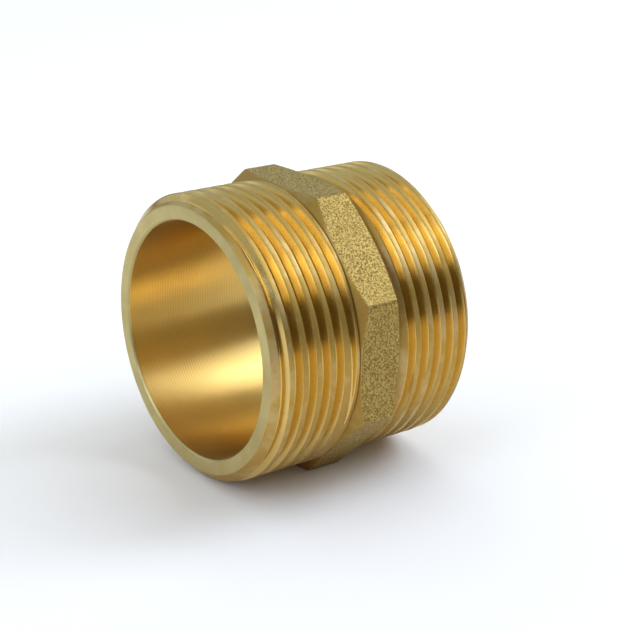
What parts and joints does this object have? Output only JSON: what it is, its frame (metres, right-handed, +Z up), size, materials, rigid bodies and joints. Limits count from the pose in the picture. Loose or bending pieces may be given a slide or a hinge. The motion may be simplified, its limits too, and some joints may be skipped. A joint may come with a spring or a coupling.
{
  "type": "hex nipple",
  "caption": "Short brass pipe nipple with an external parallel thread at each end, a bore right through and an octagonal wrench collar between the threads.",
  "frame": {"origin": "on the bore axis at the middle of the wrench collar, which is the centre of the whole nipple", "axes": "+X along the bore from the front end to the rear end, +Z up with the nipple lying on one collar flat"},
  "size_m": [0.035, 0.042, 0.042],
  "materials": {
    "bored_brass": "fine turned",
    "blasted_brass": "forged and shot blasted",
    "threaded_brass": "bright machined"
  },
  "bodies": {
    "root": {"barrel": "bored_brass", "wrench_collar": "blasted_brass", "front_thread": "threaded_brass", "rear_thread": "threaded_brass"}
  },
  "joints": []
}
